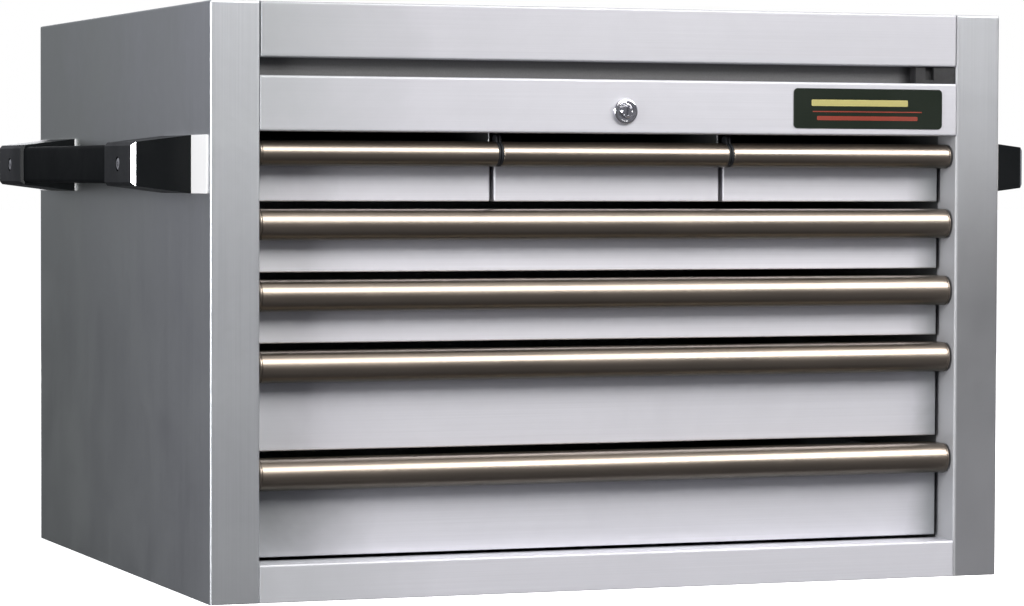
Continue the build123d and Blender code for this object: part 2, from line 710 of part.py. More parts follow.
def write_lid():
    save("lid_shell", lid_shell())
    save("lid_hinge_leaf", hinge_leaf(1, HINGE_Y - HINGE_R, HINGE_Y - HINGE_R + SHEET))
    save("lid_strut_studs", lid_stud(), other_side(lid_stud()))
    save("lid_catch", lid_catch())
    save("right_strut_tube", strut_tube())
    save("left_strut_tube", other_side(strut_tube()))
    save("right_strut_rod", strut_rod())
    save("left_strut_rod", other_side(strut_rod()))
    save("lock_plug", lock_plug())
    save("lock_cam", lock_cam())


def write_large_drawers():
    pull_end = JAMB - PULL_SIDE_GAP
    for row, name in enumerate(LARGE_NAMES):
        save(name + "_box", drawer_box(0, JAMB - SIDE_GAP, INNER - SLIDE_ROOM, row, False))
        save(name + "_pull", drawer_pull(-pull_end, pull_end, row, LARGE_PULL))
        save(name + "_pull_caps", pull_cap(-pull_end + CAP, row, LARGE_PULL, 0),
             pull_cap(pull_end, row, LARGE_PULL, 0))
        save(name + "_inner_slides", slide_member(row, -1, 2), slide_member(row, 1, 2))
        save(name + "_middle_slides", slide_member(row, -1, 1), slide_member(row, 1, 1))


def write_small_drawers():
    row = 4
    half = SMALL_PITCH / 2 - SMALL_PULL_EASE
    for index, name in zip((-1, 0, 1), SMALL_NAMES):
        centre = index * SMALL_PITCH
        x0, x1 = centre - half, centre + half
        save(name + "_box", drawer_box(centre, SMALL_FACE / 2, small_box_half(), row, True))
        save(name + "_pull", drawer_pull(x0, x1, row, SMALL_PULL))
        save(name + "_pull_caps", pull_cap(x0 + CAP, row, SMALL_PULL, CREST),
             pull_cap(x1, row, SMALL_PULL, CREST))


write_case()
write_handles()
write_lid()
write_large_drawers()
write_small_drawers()
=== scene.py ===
import json
import math

import bmesh
import bpy
from mathutils import Matrix, Vector


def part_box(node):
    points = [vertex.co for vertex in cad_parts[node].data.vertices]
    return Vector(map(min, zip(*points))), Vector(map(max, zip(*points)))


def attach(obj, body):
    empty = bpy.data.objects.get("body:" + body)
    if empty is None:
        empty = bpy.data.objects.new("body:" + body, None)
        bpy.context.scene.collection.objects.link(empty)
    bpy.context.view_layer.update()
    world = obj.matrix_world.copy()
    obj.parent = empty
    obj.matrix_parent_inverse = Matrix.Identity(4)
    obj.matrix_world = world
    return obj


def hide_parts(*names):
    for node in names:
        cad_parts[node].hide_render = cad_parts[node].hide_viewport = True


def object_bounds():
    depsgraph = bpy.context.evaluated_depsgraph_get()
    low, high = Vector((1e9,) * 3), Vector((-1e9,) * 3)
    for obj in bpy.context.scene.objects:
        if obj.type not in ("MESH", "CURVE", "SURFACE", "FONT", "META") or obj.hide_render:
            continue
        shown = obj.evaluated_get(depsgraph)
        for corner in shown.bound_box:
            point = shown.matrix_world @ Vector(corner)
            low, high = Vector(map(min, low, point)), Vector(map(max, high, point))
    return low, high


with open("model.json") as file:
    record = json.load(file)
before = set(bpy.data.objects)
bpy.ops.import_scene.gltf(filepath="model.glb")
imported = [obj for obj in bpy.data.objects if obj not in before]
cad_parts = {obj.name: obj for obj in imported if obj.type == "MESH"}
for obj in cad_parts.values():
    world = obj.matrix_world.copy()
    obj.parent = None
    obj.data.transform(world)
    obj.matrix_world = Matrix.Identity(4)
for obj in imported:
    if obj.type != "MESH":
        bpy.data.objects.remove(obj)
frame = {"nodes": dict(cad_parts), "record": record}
cad_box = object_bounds()

# Top tool chest with a hinged lid, seven drawers and two side handles.
# Metres, +Z up, front towards -Y, in the frame of the CAD model.

MM = 0.001
NODES = frame["nodes"]
LARGE = ["lower_deep_drawer", "upper_deep_drawer", "lower_shallow_drawer",
         "upper_shallow_drawer"]
SMALL = ["left_small_drawer", "middle_small_drawer", "right_small_drawer"]
DRAWERS = LARGE + SMALL
SIDES = {"left": -1, "right": 1}


# ---------------------------------------------------------------- shader helpers
def add(tree, kind, **values):
    """New node; values are its settings, or its inputs by name with _ for a space."""
    node = tree.nodes.new(kind)
    for key, value in values.items():
        if hasattr(node, key):
            setattr(node, key, value)
        else:
            node.inputs[key.replace("_", " ")].default_value = value
    return node


def wire(tree, start, end):
    tree.links.new(start, end)


def maths(tree, operation, first, second):
    """Math node on sockets or numbers; returns its output."""
    node = add(tree, "ShaderNodeMath", operation=operation)
    for index, value in enumerate((first, second)):
        if isinstance(value, (int, float)):
            node.inputs[index].default_value = value
        else:
            wire(tree, value, node.inputs[index])
    return node.outputs[0]


def spread(tree, value, low, high, out_low, out_high):
    """Map Range with its ends as numbers."""
    node = add(tree, "ShaderNodeMapRange", From_Min=low, From_Max=high,
               To_Min=out_low, To_Max=out_high)
    wire(tree, value, node.inputs["Value"])
    return node.outputs["Result"]


def blend_colour(tree, factor, first, second):
    """Mix of two colours, each an RGB triple or a socket."""
    node = add(tree, "ShaderNodeMix", data_type="RGBA")
    wire(tree, factor, node.inputs["Factor"])
    for name, value in (("A", first), ("B", second)):
        socket = [s for s in node.inputs if s.name == name and s.type == "RGBA"][0]
        if isinstance(value, tuple):
            socket.default_value = (*value, 1.0)
        else:
            wire(tree, value, socket)
    return [s for s in node.outputs if s.type == "RGBA"][0]


def group(name, inputs, outputs):
    """Empty shader node group; inputs and outputs are (name, kind, default)."""
    tree = bpy.data.node_groups.new(name, "ShaderNodeTree")
    for label, kind, default in inputs:
        socket = tree.interface.new_socket(label, in_out="INPUT", socket_type=kind)
        socket.default_value = default
    for label, kind in outputs:
        tree.interface.new_socket(label, in_out="OUTPUT", socket_type=kind)
    return tree, tree.nodes.new("NodeGroupInput"), tree.nodes.new("NodeGroupOutput")


FLOAT = "NodeSocketFloat"
VECTOR = "NodeSocketVector"


def drawn_grain_group():
    """Brushing lines: long thin streaks whose direction is set by Stretch."""
    tree, given, out = group(
        "drawn_grain", [("Stretch", VECTOR, (1, 1, 1)), ("Fine", FLOAT, 1.0)],
        [("Streak", FLOAT), ("Height", FLOAT)])
    place = add(tree, "ShaderNodeTexCoord")
    scaled = add(tree, "ShaderNodeVectorMath", operation="MULTIPLY")
    wire(tree, place.outputs["Object"], scaled.inputs[0])
    wire(tree, given.outputs["Stretch"], scaled.inputs[1])
    broad = add(tree, "ShaderNodeTexNoise", Scale=1.0, Detail=3.0, Roughness=0.55)
    wire(tree, scaled.outputs[0], broad.inputs["Vector"])
    fine = add(tree, "ShaderNodeTexNoise", Scale=4.3, Detail=2.0, Roughness=0.6)
    wire(tree, scaled.outputs[0], fine.inputs["Vector"])
    fine_part = maths(tree, "MULTIPLY", fine.outputs[0], given.outputs["Fine"])
    total = maths(tree, "ADD", broad.outputs[0], fine_part)
    wire(tree, spread(tree, total, 0.55, 1.45, 0.0, 1.0), out.inputs["Streak"])
    wire(tree, fine_part, out.inputs["Height"])
    return tree


def cloud_group():
    """Soft uneven patches from handling and rolling."""
    tree, given, out = group("cloud", [("Size", FLOAT, 6.0)], [("Mask", FLOAT)])
    place = add(tree, "ShaderNodeTexCoord")
    noise = add(tree, "ShaderNodeTexNoise", Detail=4.0, Roughness=0.6, Distortion=0.4)
    wire(tree, place.outputs["Object"], noise.inputs["Vector"])
    wire(tree, given.outputs["Size"], noise.inputs["Scale"])
    wire(tree, spread(tree, noise.outputs[0], 0.3, 0.7, 0.0, 1.0), out.inputs["Mask"])
    return tree


def edge_wear_group():
    """Rubbed edges: where the bevelled normal leaves the true one, broken by noise."""
    tree, given, out = group("edge_wear", [("Radius", FLOAT, 0.002), ("Break", FLOAT, 90.0)],
                             [("Mask", FLOAT), ("Round", VECTOR)])
    round_normal = add(tree, "ShaderNodeBevel", samples=4)
    wire(tree, given.outputs["Radius"], round_normal.inputs["Radius"])
    plain = add(tree, "ShaderNodeNewGeometry")
    dot = add(tree, "ShaderNodeVectorMath", operation="DOT_PRODUCT")
    wire(tree, round_normal.outputs[0], dot.inputs[0])
    wire(tree, plain.outputs["Normal"], dot.inputs[1])
    place = add(tree, "ShaderNodeTexCoord")
    noise = add(tree, "ShaderNodeTexNoise", Detail=3.0)
    wire(tree, place.outputs["Object"], noise.inputs["Vector"])
    wire(tree, given.outputs["Break"], noise.inputs["Scale"])
    bent = spread(tree, dot.outputs["Value"], 0.995, 0.86, 0.0, 1.0)
    broken = maths(tree, "MULTIPLY", bent, spread(tree, noise.outputs[0], 0.3, 0.65, 0.2, 1.0))
    wire(tree, broken, out.inputs["Mask"])
    wire(tree, round_normal.outputs[0], out.inputs["Round"])
    return tree


def speckle_group():
    """Fine even grain, as on moulded plastic, cast paint or rubber."""
    tree, given, out = group("speckle", [("Size", FLOAT, 900.0)],
                             [("Grain", FLOAT), ("Height", FLOAT)])
    place = add(tree, "ShaderNodeTexCoord")
    noise = add(tree, "ShaderNodeTexNoise", Detail=2.0, Roughness=0.7)
    wire(tree, place.outputs["Object"], noise.inputs["Vector"])
    wire(tree, given.outputs["Size"], noise.inputs["Scale"])
    wire(tree, noise.outputs[0], out.inputs["Grain"])
    wire(tree, noise.outputs[0], out.inputs["Height"])
    return tree


def along(tree, output, axis):
    """One axis of a texture coordinate, such as Object or Normal."""
    place = add(tree, "ShaderNodeTexCoord")
    parts = add(tree, "ShaderNodeSeparateXYZ")
    wire(tree, place.outputs[output], parts.inputs[0])
    return parts.outputs[axis]


GRAIN = drawn_grain_group()
CLOUD = cloud_group()
WEAR = edge_wear_group()
SPECKLE = speckle_group()


def use(tree, made, **values):
    """Place one of the shared groups in a material."""
    node = add(tree, "ShaderNodeGroup")
    node.node_tree = made
    for key, value in values.items():
        node.inputs[key].default_value = value
    return node


def material(name):
    made = bpy.data.materials.new(name)
    made.use_nodes = True
    tree = made.node_tree
    shader = tree.nodes["Principled BSDF"]
    return made, tree, shader


# ---------------------------------------------------------------- materials
LONG, THIN = 3.0, 900.0             # stretch of a brushing line along and across it
ALONG_X = (LONG, THIN, THIN)
ALONG_Y = (THIN, LONG, THIN)
ALONG_Z = (THIN, THIN, LONG)
SHADE_PATCHES = 9.0                 # size of the cloud that breaks the border of a painted shade
LOOKS_UP = (0.6, 0.9)               # a face's Z from upright to flat
LOOKS_DOWN = (-0.35, -0.8)
TOP_DULLER = 0.2                    # roughness that the upward faces add
DULL_PATCH = 0.82                   # tone of a dull patch
BRIGHT_EDGE = 1.15                  # tone of a rubbed edge
PATCH_ROUGHER = 0.08                # roughness added by patches and by streaks,
STREAK_ROUGHER = 0.07
EDGE_SMOOTHER = 0.12                # and taken off at rubbed edges
STREAK_DEPTH = 0.2 * MM
SPECK_DEPTH = 0.3 * MM
MOULDED_EDGE = 1.2 * MM


def shade_along(tree, axis, start, end, reach):
    """Mask that runs from 0 at start to 1 at end along an axis, with a cloudy border."""
    patches = use(tree, CLOUD, Size=SHADE_PATCHES)
    shift = maths(tree, "MULTIPLY", patches.outputs["Mask"], reach)
    shifted = maths(tree, "ADD", along(tree, "Object", axis), shift)
    return spread(tree, shifted, start, end, 0.0, 1.0)


def facing(tree, start, end):
    """Mask of the piece's own faces by how far they look up (1) or down (-1)."""
    return spread(tree, along(tree, "Normal", "Z"), start, end, 0.0, 1.0)


def toned(colour, tone):
    """Colour made darker or lighter, kept within 1."""
    return tuple(min(1.0, tone * c) for c in colour)


def brushed_steel(name, dark, light, stretch, rough, bump=0.15, cloud=6.0, worn=0.0014,
                  metallic=1.0, painted_shades=None, uneven=0.35, rubbed=0.7, matte_to=None,
                  painted_underside_shade=None, top=None):
    """Drawn stainless sheet with brighter rubbed edges.

    painted_shades holds (axis, start, end, reach, tint) rows of painted shade that darken
    the sheet towards start; painted_underside_shade and top are painted shade tints of the
    faces that look down or up; matte_to is the X up to which the sheet is less metallic.
    """
    made, tree, shader = material(name)
    grain = use(tree, GRAIN, Stretch=stretch, Fine=0.8)
    patches = use(tree, CLOUD, Size=cloud)
    wear = use(tree, WEAR, Radius=worn)
    streaked = blend_colour(tree, grain.outputs["Streak"], dark, light)
    dull = toned(dark, DULL_PATCH)
    patched = blend_colour(tree, maths(tree, "MULTIPLY", patches.outputs["Mask"], uneven),
                           streaked, dull)
    bright = toned(light, BRIGHT_EDGE)
    colour = blend_colour(tree, maths(tree, "MULTIPLY", wear.outputs["Mask"], rubbed),
                          patched, bright)
    # painted shade: each row tints the sheet darker towards its start
    for axis, start, end, reach, tint in painted_shades or []:
        colour = blend_colour(tree, shade_along(tree, axis, start, end, reach), tint, colour)
    # painted shade: darker tint on the faces that look up
    if top:
        colour = blend_colour(tree, facing(tree, *LOOKS_UP), colour, top)
    # painted shade under the faces that look down
    if painted_underside_shade:
        colour = blend_colour(tree, facing(tree, *LOOKS_DOWN), colour, painted_underside_shade)
    wire(tree, colour, shader.inputs["Base Color"])
    dulled = maths(tree, "MULTIPLY", patches.outputs["Mask"], PATCH_ROUGHER)
    lined = maths(tree, "MULTIPLY", grain.outputs["Streak"], STREAK_ROUGHER)
    total = maths(tree, "ADD", maths(tree, "ADD", dulled, lined), rough)
    if top:
        duller = maths(tree, "MULTIPLY", facing(tree, *LOOKS_UP), TOP_DULLER)
        total = maths(tree, "ADD", total, duller)
    smoother = maths(tree, "MULTIPLY", wear.outputs["Mask"], EDGE_SMOOTHER)
    wire(tree, maths(tree, "SUBTRACT", total, smoother), shader.inputs["Roughness"])
    relief = add(tree, "ShaderNodeBump", Strength=bump, Distance=STREAK_DEPTH)
    wire(tree, grain.outputs["Height"], relief.inputs["Height"])
    wire(tree, wear.outputs["Round"], relief.inputs["Normal"])
    wire(tree, relief.outputs["Normal"], shader.inputs["Normal"])
    shader.inputs["Metallic"].default_value = metallic
    if matte_to:
        clean = shade_along(tree, "X", matte_to, matte_to + MM, 0.0)
        wire(tree, spread(tree, clean, 0.0, 1.0, 0.3, metallic), shader.inputs["Metallic"])
    return made


def moulded(name, dark, light, rough, grain=900.0, bump=0.2, specular=0.5, coat=0.0,
            worn_colour=None):
    """Plastic, rubber or paint with a fine grain and lighter worn edges."""
    made, tree, shader = material(name)
    speck = use(tree, SPECKLE, Size=grain)
    patches = use(tree, CLOUD, Size=14.0)
    wear = use(tree, WEAR, Radius=MOULDED_EDGE)
    body = blend_colour(tree, speck.outputs["Grain"], dark, light)
    worn = worn_colour or tuple(min(1.0, 2.2 * c + 0.01) for c in light)
    colour = blend_colour(tree, maths(tree, "MULTIPLY", wear.outputs["Mask"], 0.5), body, worn)
    wire(tree, colour, shader.inputs["Base Color"])
    uneven = maths(tree, "MULTIPLY", patches.outputs["Mask"], 0.12)
    wire(tree, maths(tree, "ADD", uneven, rough), shader.inputs["Roughness"])
    relief = add(tree, "ShaderNodeBump", Strength=bump, Distance=SPECK_DEPTH)
    wire(tree, speck.outputs["Height"], relief.inputs["Height"])
    wire(tree, relief.outputs["Normal"], shader.inputs["Normal"])
    shader.inputs["Specular IOR Level"].default_value = specular
    shader.inputs["Coat Weight"].default_value = coat
    return made


def polished(name, dark, light, rough):
    """Plated or ground bright metal with faint handling marks."""
    made, tree, shader = material(name)
    patches = use(tree, CLOUD, Size=60.0)
    grain = use(tree, GRAIN, Stretch=(300.0, 300.0, 300.0), Fine=0.5)
    wire(tree, blend_colour(tree, patches.outputs["Mask"], dark, light),
         shader.inputs["Base Color"])
    marks = maths(tree, "MULTIPLY", patches.outputs["Mask"], 0.07)
    wire(tree, maths(tree, "ADD", marks, rough), shader.inputs["Roughness"])
    relief = add(tree, "ShaderNodeBump", Strength=0.03, Distance=0.0001)
    wire(tree, grain.outputs["Height"], relief.inputs["Height"])
    wire(tree, relief.outputs["Normal"], shader.inputs["Normal"])
    shader.inputs["Metallic"].default_value = 1.0
    return made


SEAL_BLOCK = (255 * MM, 264 * MM)       # where the strip turns into the block


def seal_strip():
    """Grey rubber, darker and mottled on the block at its right-hand end."""
    made = moulded("seal_rubber", (0.074, 0.074, 0.076), (0.116, 0.116, 0.118), 0.6)
    tree = made.node_tree
    shader = tree.nodes["Principled BSDF"]
    body = shader.inputs["Base Color"].links[0].from_socket
    patches = use(tree, CLOUD, Size=120.0)
    mottled = blend_colour(tree, patches.outputs["Mask"], (0.004, 0.004, 0.005),
                           (0.020, 0.020, 0.022))
    block = spread(tree, along(tree, "Object", "X"), *SEAL_BLOCK, 0.0, 1.0)
    wire(tree, blend_colour(tree, block, body, mottled), shader.inputs["Base Color"])
    return made


STEEL_DARK = (0.52, 0.535, 0.56)
STEEL_LIGHT = (0.63, 0.64, 0.675)
FRONT_DARK = (0.60, 0.60, 0.645)
FRONT_LIGHT = (0.70, 0.70, 0.75)

# painted shade: the drawer fronts darken towards their left and right ends, beside the posts
LEFT_END_PAINTED_SHADE = ("X", -0.31, -0.21, 0.05, (0.40, 0.415, 0.425))
RIGHT_END_PAINTED_SHADE = ("X", 0.314, 0.286, 0.02, (0.36, 0.375, 0.385))


def front_sheet(name, tone, painted_shades, rubbed=0.3, top=None):
    """Sheet of the front, made darker or lighter by its tone: painted light and shade that
    gives lit and shaded copies of one sheet.
    """
    return brushed_steel(name, toned(FRONT_DARK, tone), toned(FRONT_LIGHT, tone), ALONG_X,
                         0.46, metallic=0.55, painted_shades=painted_shades, uneven=0.5, rubbed=rubbed,
                         top=top)


MATERIALS = {
    "stainless_case": brushed_steel("brushed_case_sheet", STEEL_DARK, STEEL_LIGHT,
                                    ALONG_Z, 0.36),
    # drawer fronts: brushed sheet with painted shade at both ends
    "stainless_front": front_sheet("brushed_front_sheet", 1.0, [LEFT_END_PAINTED_SHADE, RIGHT_END_PAINTED_SHADE]),
    "stainless_inner": brushed_steel("mill_inner_sheet", (0.40, 0.41, 0.42),
                                     (0.50, 0.51, 0.52), ALONG_Y, 0.42),
    "slide_zinc": brushed_steel("zinc_slide", (0.50, 0.52, 0.54), (0.64, 0.66, 0.68),
                                ALONG_Y, 0.34, cloud=40.0),
    "hinge_steel": brushed_steel("hinge_steel", (0.5, 0.5, 0.52), (0.64, 0.64, 0.66),
                                 ALONG_X, 0.34),
    # pull rails: the faces that look down carry a painted shade
    "satin_pull": brushed_steel("champagne_pull", (0.33, 0.28, 0.235), (0.37, 0.32, 0.265),
                                ALONG_X, 0.26, bump=0.015, cloud=12.0, worn=0.0008,
                                painted_underside_shade=(0.115, 0.105, 0.085)),
    "bright_steel": polished("bright_steel", (0.62, 0.62, 0.64), (0.75, 0.75, 0.77), 0.16),
    "lock_chrome": polished("lock_chrome", (0.74, 0.74, 0.78), (0.86, 0.86, 0.90), 0.10),
    "polished_plate": moulded("bright_pad", (0.90, 0.90, 0.91), (0.96, 0.96, 0.96), 0.3,
                              bump=0.05, worn_colour=(0.95, 0.95, 0.95)),
    "cap_black": moulded("cap_plastic", (0.006, 0.007, 0.009), (0.012, 0.013, 0.016), 0.5,
                         specular=0.3),
    "handle_black": moulded("handle_coat", (0.003, 0.004, 0.0045), (0.006, 0.007, 0.008),
                            0.3, grain=700.0, bump=0.12, specular=0.16),
    "bar_black": moulded("bar_coat", (0.0025, 0.003, 0.0035), (0.005, 0.006, 0.0065),
                         0.45, grain=700.0, bump=0.12, specular=0.03),
    "seal_rubber": seal_strip(),
    "label_enamel": moulded("label_enamel", (0.006, 0.010, 0.006), (0.010, 0.016, 0.010),
                            0.3, bump=0.05, specular=0.25),
    "strut_black": moulded("strut_paint", (0.012, 0.012, 0.013), (0.02, 0.02, 0.022), 0.3,
                           coat=0.3),
    "label_gold": moulded("label_gold", (0.34, 0.31, 0.11), (0.44, 0.40, 0.15), 0.35,
                          bump=0.03),
    "label_red": moulded("label_red", (0.17, 0.022, 0.012), (0.23, 0.032, 0.016), 0.35,
                         bump=0.03),
    "liner_foam": moulded("liner_foam", (0.018, 0.019, 0.020), (0.035, 0.037, 0.038), 0.85,
                          grain=500.0, bump=0.5),
}


def row_sheet(name, tone, left, start):
    """Drawer sheet made lighter or darker by its tone and darker on the left, both painted
    light and shade.
    """
    return front_sheet(name, tone, [("X", start, start + 0.11, 0.05, left), RIGHT_END_PAINTED_SHADE])


def case_front(name, tone, top=None):
    """Lid, lock panel or rail, made lighter or darker by its tone, with a wide painted shade
    on the left.
    """
    left = toned((0.42, 0.435, 0.45), tone)
    return front_sheet(name, tone, [("X", -0.31, -0.14, 0.05, left)], 0.4, top)


JAMB_FACE = 304.6 * MM              # the right post's turned-in edge ends here
PAINTED_TOP_SHADE = (0.36, 0.37, 0.39)       # painted shade: darker tint of the sheet that looks up, toning down the lamps' glare there

# Lit and shaded copies of the front and case sheet: each tone and tint below is painted light
# and shade.
PAINTED_LIGHT_SHEETS = {
    "lid_shell": case_front("lid_sheet", 0.82, PAINTED_TOP_SHADE),
    "lock_panel": case_front("lock_panel_sheet", 0.9),
    "bottom_pan": case_front("rail_sheet", 1.08),
    "upper_shallow_drawer_box": row_sheet("second_row_sheet", 1.15, (0.56, 0.57, 0.59),
                                          -0.31),
    "lower_shallow_drawer_box": row_sheet("third_row_sheet", 1.10, (0.50, 0.51, 0.53), -0.31),
    "lower_deep_drawer_box": row_sheet("bottom_row_sheet", 0.98, (0.27, 0.28, 0.29), -0.285),
    # left wall: a lighter copy of the case sheet, with painted shade towards the back and on
    # top
    "left_side_panel": brushed_steel(
        "left_wall_sheet", (0.60, 0.62, 0.65), (0.72, 0.735, 0.77), ALONG_Z, 0.36,
        painted_shades=[("Y", 0.24, -0.27, 0.08, (0.46, 0.485, 0.475))], uneven=0.55, rubbed=0.25,
        cloud=9.0, top=PAINTED_TOP_SHADE),
    # right wall: painted shade from 0.29 m down, a little lighter again near the floor, a
    # painted tone on the turned-in jamb, and painted shade on top
    "right_side_panel": brushed_steel(
        "right_wall_sheet", STEEL_DARK, STEEL_LIGHT, ALONG_Z, 0.36,
        painted_shades=[("Z", 0.29, 0.42, 0.03, (0.35, 0.355, 0.37)),
                ("Z", 0.03, 0.20, 0.03, (0.50, 0.505, 0.53)),
                ("X", JAMB_FACE, JAMB_FACE + MM, 0.0, (0.42, 0.425, 0.445))],
        rubbed=0.25, matte_to=JAMB_FACE, top=PAINTED_TOP_SHADE),
}


def dress_cad_nodes():
    """Give every CAD node the material of its slot, or its own sheet with painted light and
    shade.
    """
    for row in frame["record"]["subparts"]:
        shape = NODES[row["node"]]
        finish = PAINTED_LIGHT_SHEETS.get(row["node"], MATERIALS[row["material_slot"]])
        shape.data.materials.clear()
        shape.data.materials.append(finish)


dress_cad_nodes()


# ---------------------------------------------------------------- piece helpers
SHARP = math.radians(35)            # edges at least this sharp stay crisp
ROUNDED = math.radians(40)          # and at least this sharp get the bevel


def soften(data):
    """Smooth faces with crisp edges."""
    for face in data.polygons:
        face.use_smooth = True
    data.set_sharp_from_angle(angle=SHARP)


def finish_piece(name, shape, finish, body, replaced=(), bevel=0.0, steps=3):
    """Turn a bmesh into a named piece in the frame's coordinates."""
    bmesh.ops.recalc_face_normals(shape, faces=shape.faces)
    data = bpy.data.meshes.new(name)
    shape.to_mesh(data)
    shape.free()
    data.materials.append(finish)
    made = bpy.data.objects.new(name, data)
    bpy.context.scene.collection.objects.link(made)
    if bevel:
        rounded = made.modifiers.new("rounded_edges", "BEVEL")
        rounded.width = bevel
        rounded.segments = steps
        rounded.limit_method = "ANGLE"
        rounded.angle_limit = ROUNDED
    soften(data)
    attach(made, body)
    for node in replaced:
        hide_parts(node)
    return made


def prism(shape, outline, start, end, place):
    """Closed outline swept from start to end; place turns (u, v, run) into a point."""
    rings = []
    for run in (start, end):
        rings.append([shape.verts.new(place(u, v, run)) for u, v in outline])
    count = len(outline)
    for index in range(count):
        after = (index + 1) % count
        shape.faces.new((rings[0][index], rings[0][after], rings[1][after],
                         rings[1][index]))
    shape.faces.new(rings[0])
    shape.faces.new(list(reversed(rings[1])))


def lathe(shape, profile, place, steps=64):
    """Profile of (radius, depth) points turned round the axis given by place."""
    rings = []
    for radius, depth in profile:
        ring = []
        for index in range(steps):
            angle = 2 * math.pi * index / steps
            ring.append(shape.verts.new(place(radius * math.cos(angle),
                                              radius * math.sin(angle), depth)))
        rings.append(ring)
    for first, second in zip(rings, rings[1:]):
        for index in range(steps):
            after = (index + 1) % steps
            shape.faces.new((first[index], first[after], second[after], second[index]))
    return rings


def drill(radius, start, end, place, steps=64):
    """Closed round cutter along the axis given by place."""
    shape = bmesh.new()
    rings = lathe(shape, [(radius, start), (radius, end)], place, steps)
    shape.faces.new(rings[0])
    shape.faces.new(list(reversed(rings[1])))
    return shape


def rounded_outline(half_u, half_v, radius, steps=6):
    """Rectangle with round corners, centred on zero."""
    points = []
    for quarter, (su, sv) in enumerate(((1, 1), (-1, 1), (-1, -1), (1, -1))):
        for index in range(steps + 1):
            angle = math.pi / 2 * (quarter + index / steps)
            points.append((su * (half_u - radius) + radius * math.cos(angle),
                           sv * (half_v - radius) + radius * math.sin(angle)))
    return points


def carve(made, cutters):
    """Cut temporary bmesh shapes out of a piece and keep the result as its mesh."""
    for cutter in cutters:
        bmesh.ops.recalc_face_normals(cutter, faces=cutter.faces)
        data = bpy.data.meshes.new("cutter")
        cutter.to_mesh(data)
        cutter.free()
        tool = bpy.data.objects.new("cutter", data)
        bpy.context.scene.collection.objects.link(tool)
        cut = made.modifiers.new("cut", "BOOLEAN")
        cut.object = tool
        cut.solver = "EXACT"
        while made.modifiers[0] != cut:
            place = made.modifiers.find(cut.name)
            made.modifiers.move(place, place - 1)
        bevels = [m for m in made.modifiers if m.type == "BEVEL"]
        for bevel in bevels:
            bevel.show_viewport = False
        graph = bpy.context.evaluated_depsgraph_get()
        result = bpy.data.meshes.new_from_object(made.evaluated_get(graph))
        for bevel in bevels:
            bevel.show_viewport = True
        made.modifiers.remove(cut)
        made.data = result
        bpy.data.objects.remove(tool)
        bpy.data.meshes.remove(data)
    soften(made.data)


# ---------------------------------------------------------------- drawer pulls
PULL_LEG = 12 * MM                  # flat top from the drawer face to the round nose
PULL_BACK = 10 * MM                 # and behind the face
PULL_WALL = 2 * MM
PULL_FLANGE = 1.4 * MM
NOSE_STEPS = 28
CAP_BACK = 0.4 * MM                 # caps stop short of the drawer face
CREST_MIDDLE = 11 * MM              # crest in front of the face, with its round top
CREST_HALF = 4.5 * MM
CREST_TURN = 2.4 * MM
CREST_STEPS = 4
BLACK_CAP_EDGE = 0.6 * MM
METAL_CAP_EDGE = 1.5 * MM


def nose_line(reach, height, inset):
    """Half ellipse from the top of the nose round to its bottom."""
    points = []
    for index in range(NOSE_STEPS + 1):
        angle = math.pi / 2 - math.pi * index / NOSE_STEPS
        points.append((PULL_LEG + (reach - inset) * math.cos(angle),
                       -height / 2 + (height / 2 - inset) * math.sin(angle)))
    return points


def pull_outline(reach, height):
    """Section of the extrusion: flat leg, round nose and the flange on the face."""
    inner = list(reversed(nose_line(reach, height, PULL_WALL)))
    return ([(-PULL_BACK, 0.0)] + nose_line(reach, height, 0.0) + inner
            + [(PULL_FLANGE, -PULL_WALL), (PULL_FLANGE, -height / 2), (0.0, -height / 2),
               (0.0, -PULL_WALL), (-PULL_BACK, -PULL_WALL)])


def cap_outline(reach, height, crest):
    """Filled section with an optional crest that rises behind the nose."""
    line = nose_line(reach, height, 0.0) + [(CAP_BACK, -height), (CAP_BACK, 0.0)]
    if crest <= 0:
        return line
    front, back = CREST_MIDDLE + CREST_HALF, CREST_MIDDLE - CREST_HALF
    line = [(out, up) for out, up in line
            if up < -height / 2 or out > front or out == CAP_BACK]
    line.append((back, 0.0))
    for corner, first in ((back + CREST_TURN, math.pi), (front - CREST_TURN, math.pi / 2)):
        for index in range(CREST_STEPS + 1):
            angle = first - math.pi / 2 * index / CREST_STEPS
            line.append((corner + CREST_TURN * math.cos(angle),
                         crest - CREST_TURN + CREST_TURN * math.sin(angle)))
    return line


def build_pull(drawer):
    """Rail with two end caps; black crested caps only where small pulls meet."""
    low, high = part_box(drawer + "_pull")
    cap_low, cap_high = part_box(drawer + "_pull_caps")
    face = high.y - PULL_BACK
    height = high.z - low.z
    reach = face - low.y - PULL_LEG

    def place(out, up, run):
        return (run, face - out, high.z + up)

    shape = bmesh.new()
    prism(shape, pull_outline(reach, height), low.x, high.x, place)
    finish_piece(drawer + "_handle_rail", shape, MATERIALS["satin_pull"], drawer,
                 [drawer + "_pull"])
    crest = cap_high.z - high.z
    for side, start, end, outermost in (("left", cap_low.x, low.x, SMALL[0]),
                                        ("right", high.x, cap_high.x, SMALL[2])):
        dark = drawer in SMALL and drawer != outermost
        finish = "cap_black" if dark else "satin_pull"
        shape = bmesh.new()
        prism(shape, cap_outline(reach, height, crest if dark else 0.0), start, end, place)
        finish_piece(drawer + "_" + side + "_end_cap", shape, MATERIALS[finish], drawer,
                     [drawer + "_pull_caps"],
                     bevel=BLACK_CAP_EDGE if dark else METAL_CAP_EDGE, steps=4)


for drawer_name in DRAWERS:
    build_pull(drawer_name)


